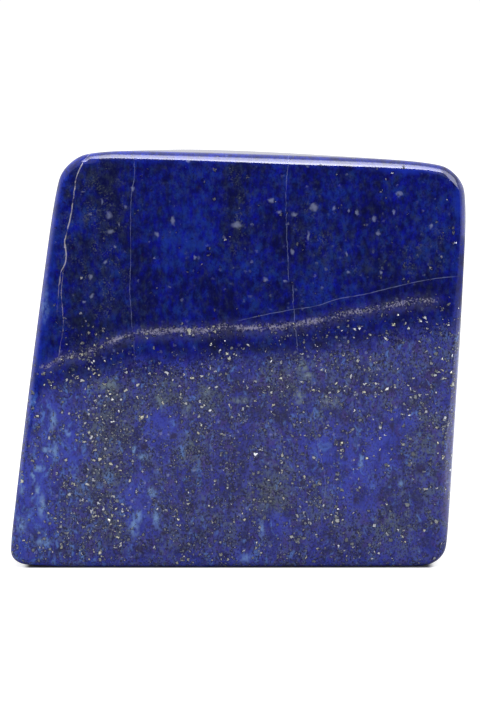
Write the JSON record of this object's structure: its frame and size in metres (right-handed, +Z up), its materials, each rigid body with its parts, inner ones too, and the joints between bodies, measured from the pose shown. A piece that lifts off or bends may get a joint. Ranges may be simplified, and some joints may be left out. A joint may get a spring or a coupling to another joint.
{
  "type": "polished lapis lazuli block",
  "caption": "Free-standing polished block of deep blue lapis lazuli: a thick, leaning four-sided slab with rounded edges that stands on its flat foot.",
  "frame": {"origin": "middle of the stone's bounding box, on the surface that it stands on", "axes": "+Z up, +X along the width, to the right as seen from the front, +Y through the thickness, to the back"},
  "size_m": [0.087, 0.0308, 0.0796],
  "materials": {
    "lapis": "polished, ultramarine blue with pyrite and calcite flecks and pale veins"
  },
  "bodies": {
    "root": {"lapis_stone": "lapis"}
  },
  "joints": []
}
